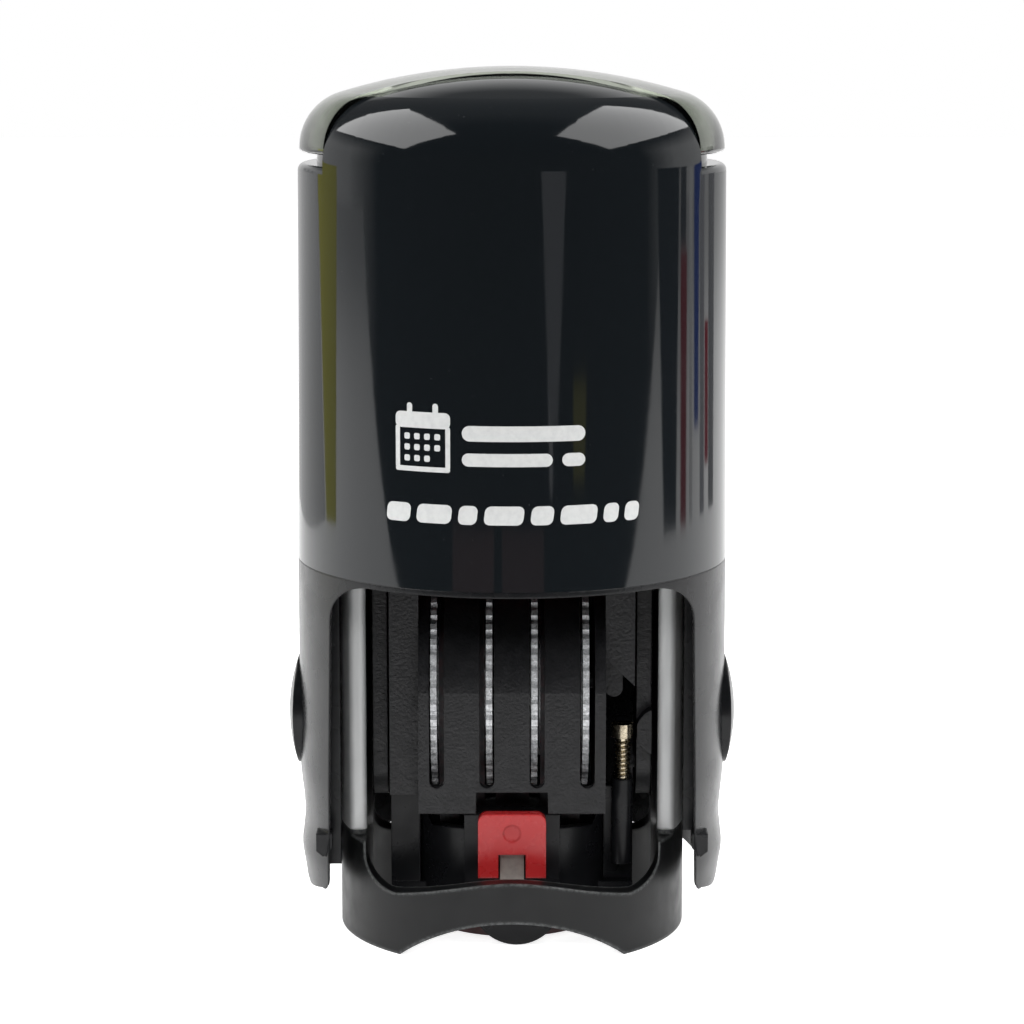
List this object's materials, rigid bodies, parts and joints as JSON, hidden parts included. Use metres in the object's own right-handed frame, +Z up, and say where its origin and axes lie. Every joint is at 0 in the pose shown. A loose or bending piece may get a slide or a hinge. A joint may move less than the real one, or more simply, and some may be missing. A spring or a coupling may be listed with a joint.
{
  "type": "self-inking rotary date stamp",
  "caption": "Self-inking round date stamp with a domed sliding cap, a turn-over date block with setting wheels, side lock buttons and a clear index cover.",
  "frame": {"origin": "centre of the base ring's bottom plane", "axes": "+Z up along the cap's travel, front with the date wheels and red catch towards -Y, +X to the right seen from the front"},
  "size_m": [0.0402, 0.0382, 0.0767],
  "materials": {
    "gloss_black": "polished injection-moulded ABS",
    "satin_black": "satin injection-moulded plastic",
    "frame_black": "semi-matte moulded plastic",
    "block_black": "fine textured plastic",
    "smoke_clear": "smoke-tinted clear plastic",
    "satin_silver": "satin silver",
    "spring_steel": "bright drawn wire",
    "nickel_brass": "nickel-toned machined brass",
    "wheel_grey": "silver-grey moulded plastic",
    "band_rubber": "moulded date band",
    "die_rubber": "laser-cut rubber die",
    "ink_felt": "ink-soaked felt",
    "catch_red": "glossy red plastic",
    "card_white": "uncoated card"
  },
  "bodies": {
    "base": {"base_frame": "frame_black", "column_trim_left": "satin_silver", "column_trim_right": "satin_silver", "pad_holder": "frame_black", "pad_cartridge": "satin_black", "ink_pad": "ink_felt", "return_spring": "spring_steel"},
    "cap": {"cap_shell": "gloss_black", "cap_skirt": "satin_black", "yoke": "frame_black", "yoke_screws": "spring_steel", "pivot_pin_left": "spring_steel", "pivot_pin_right": "spring_steel", "index_card": "card_white"},
    "cover": {"top_cover": "smoke_clear"},
    "date_block": {"die_holder": "block_black", "text_die": "die_rubber", "band_cage": "block_black", "band_nose": "block_black", "wheel_axle": "spring_steel", "pivot_plate_left": "block_black", "pivot_plate_right": "block_black", "screw_bracket": "block_black", "adjusting_screw": "nickel_brass", "latch_leaf": "spring_steel", "day_tens_band": "band_rubber", "day_units_band": "band_rubber", "month_band": "band_rubber", "year_band": "band_rubber"},
    "day_tens": {"day_tens_wheel": "wheel_grey"},
    "day_units": {"day_units_wheel": "wheel_grey"},
    "month": {"month_wheel": "wheel_grey"},
    "year": {"year_wheel": "wheel_grey"},
    "catch": {"catch_tab": "catch_red"},
    "button_left": {"lock_button_left": "satin_black"},
    "button_right": {"lock_button_right": "satin_black"}
  },
  "joints": [
    {"name": "cap_slide", "type": "slide", "parent": "base", "child": "cap", "axis": [0, 0, 1], "range_m": [0, 0.024], "deforming": ["return_spring"]},
    {"name": "block_flip", "type": "hinge", "parent": "cap", "child": "date_block", "pos_m": [0, 0, 0.015], "axis": [1, 0, 0], "range_deg": [0, 180]},
    {"name": "cover_lift", "type": "slide", "parent": "cap", "child": "cover", "axis": [0, 0, 1], "range_m": [0, 0.02]},
    {"name": "button_left_press", "type": "slide", "parent": "cap", "child": "button_left", "axis": [1, 0, 0], "range_m": [0, 0.0006]},
    {"name": "button_right_press", "type": "slide", "parent": "cap", "child": "button_right", "axis": [-1, 0, 0], "range_m": [0, 0.0006]},
    {"name": "day_tens_turn", "type": "hinge", "parent": "date_block", "child": "day_tens", "pos_m": [-0.00685, 0, 0.0222], "axis": [1, 0, 0], "continuous": true},
    {"name": "day_units_turn", "type": "hinge", "parent": "date_block", "child": "day_units", "pos_m": [-0.002, 0, 0.0222], "axis": [1, 0, 0], "continuous": true},
    {"name": "month_turn", "type": "hinge", "parent": "date_block", "child": "month", "pos_m": [0.00196, 0, 0.0222], "axis": [1, 0, 0], "continuous": true},
    {"name": "year_turn", "type": "hinge", "parent": "date_block", "child": "year", "pos_m": [0.00646, 0, 0.0222], "axis": [1, 0, 0], "continuous": true},
    {"name": "catch_slide", "type": "slide", "parent": "date_block", "child": "catch", "axis": [0, 0, 1], "range_m": [0, 0.0015]}
  ],
  "couplings": [
    {"joint": "block_flip", "follows": "cap_slide", "rad_per_m": 130.9}
  ]
}
